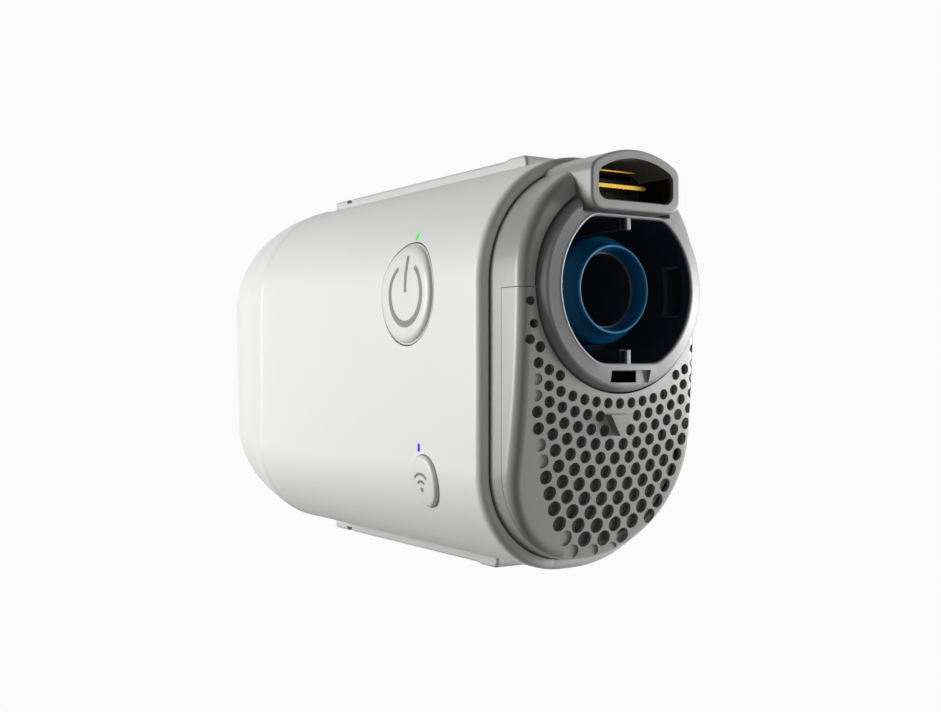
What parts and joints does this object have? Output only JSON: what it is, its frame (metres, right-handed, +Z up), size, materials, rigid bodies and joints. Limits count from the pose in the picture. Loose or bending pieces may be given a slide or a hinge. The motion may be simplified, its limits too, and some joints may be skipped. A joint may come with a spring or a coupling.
{
  "type": "travel cpap machine",
  "caption": "Compact travel CPAP machine: rounded casing with two buttons, side rails, power inlet hood, ring socket round the air outlet and a perforated filter cover.",
  "frame": {"origin": "on the table under the middle of the machine, level with the soles of the feet", "axes": "+X along the machine towards the air outlet, +Y towards the side with the power inlet, +Z up out of the button face"},
  "size_m": [0.136, 0.084, 0.0529],
  "materials": {
    "shell_plastic": "fine satin moulding",
    "base_plastic": "fine satin moulding",
    "bezel_plastic": "fine satin moulding",
    "collar_plastic": "fine satin moulding",
    "grille_plastic": "fine satin moulding",
    "socket_plastic": "smooth moulding",
    "cuff_silicone": "smooth silicone",
    "insert_plastic": "moulded",
    "contact_gold": "gold plated",
    "filter_fibre": "pressed fibre",
    "button_plastic": "fine satin moulding",
    "green_light": "lit",
    "blue_light": "lit",
    "foot_rubber": "soft pad",
    "screw_steel": "plated",
    "board_laminate": "solder mask",
    "chip_resin": "moulded",
    "capacitor_can": "drawn can",
    "switch_plastic": "moulded",
    "plunger_plastic": "moulded",
    "sensor_plastic": "moulded",
    "air_tube": "clear silicone",
    "duct_silicone": "soft moulding",
    "screen_plastic": "moulded",
    "housing_plastic": "moulded",
    "impeller_plastic": "balanced moulding",
    "shaft_steel": "ground",
    "magnet": "sintered and coated",
    "stator_steel": "stacked laminations",
    "copper_wire": "enamelled copper",
    "mount_rubber": "soft moulding",
    "intake_plastic": "moulded",
    "foam": "open cell foam",
    "motor_lead": "insulated wire",
    "inlet_lead": "insulated wire"
  },
  "bodies": {
    "housing": {"top_cover": "shell_plastic", "base_cover": "base_plastic", "base_feet": "foot_rubber", "case_screws": "screw_steel", "board_screws": "screw_steel", "end_bezel": "bezel_plastic", "inlet_insert": "insert_plastic", "inlet_contacts": "contact_gold", "tube_collar": "collar_plastic", "socket_liner": "socket_plastic", "outlet_cuff": "cuff_silicone", "outlet_duct": "duct_silicone", "blower_coupling": "mount_rubber", "flow_screen": "screen_plastic", "blower_lower_housing": "housing_plastic", "blower_upper_housing": "housing_plastic", "shaft_bearings": "shaft_steel", "stator_core": "stator_steel", "stator_coils": "copper_wire", "blower_mount": "mount_rubber", "intake_box": "intake_plastic", "intake_lid": "intake_plastic", "muffler_foam": "foam", "main_board": "board_laminate", "board_chips": "chip_resin", "board_capacitors": "capacitor_can", "pressure_sensor": "sensor_plastic", "sensor_tubes": "air_tube", "power_switch": "switch_plastic", "wireless_switch": "switch_plastic", "power_light_pipe": "green_light", "wireless_light_pipe": "blue_light", "motor_leads": "motor_lead", "inlet_leads": "inlet_lead"},
    "power_press": {"power_button": "button_plastic", "power_switch_plunger": "plunger_plastic"},
    "wireless_press": {"wireless_button": "button_plastic", "wireless_switch_plunger": "plunger_plastic"},
    "filter_door": {"filter_cover": "grille_plastic", "air_filter": "filter_fibre"},
    "rotor": {"impeller": "impeller_plastic", "rotor_shaft": "shaft_steel", "rotor_magnet": "magnet"}
  },
  "joints": [
    {"name": "power_button_press", "type": "slide", "parent": "housing", "child": "power_press", "axis": [0, 0, -1], "range_m": [0, 0.0005], "stiffness_N_per_m": 2000},
    {"name": "wireless_button_press", "type": "slide", "parent": "housing", "child": "wireless_press", "axis": [0, 0, -1], "range_m": [0, 0.0005], "stiffness_N_per_m": 2000},
    {"name": "filter_cover_pull", "type": "slide", "parent": "housing", "child": "filter_door", "axis": [1, 0, 0], "range_m": [0, 0.025]},
    {"name": "rotor_spin", "type": "hinge", "parent": "housing", "child": "rotor", "pos_m": [-0.026, -0.004, 0.02], "axis": [0, 0, 1], "continuous": true}
  ]
}
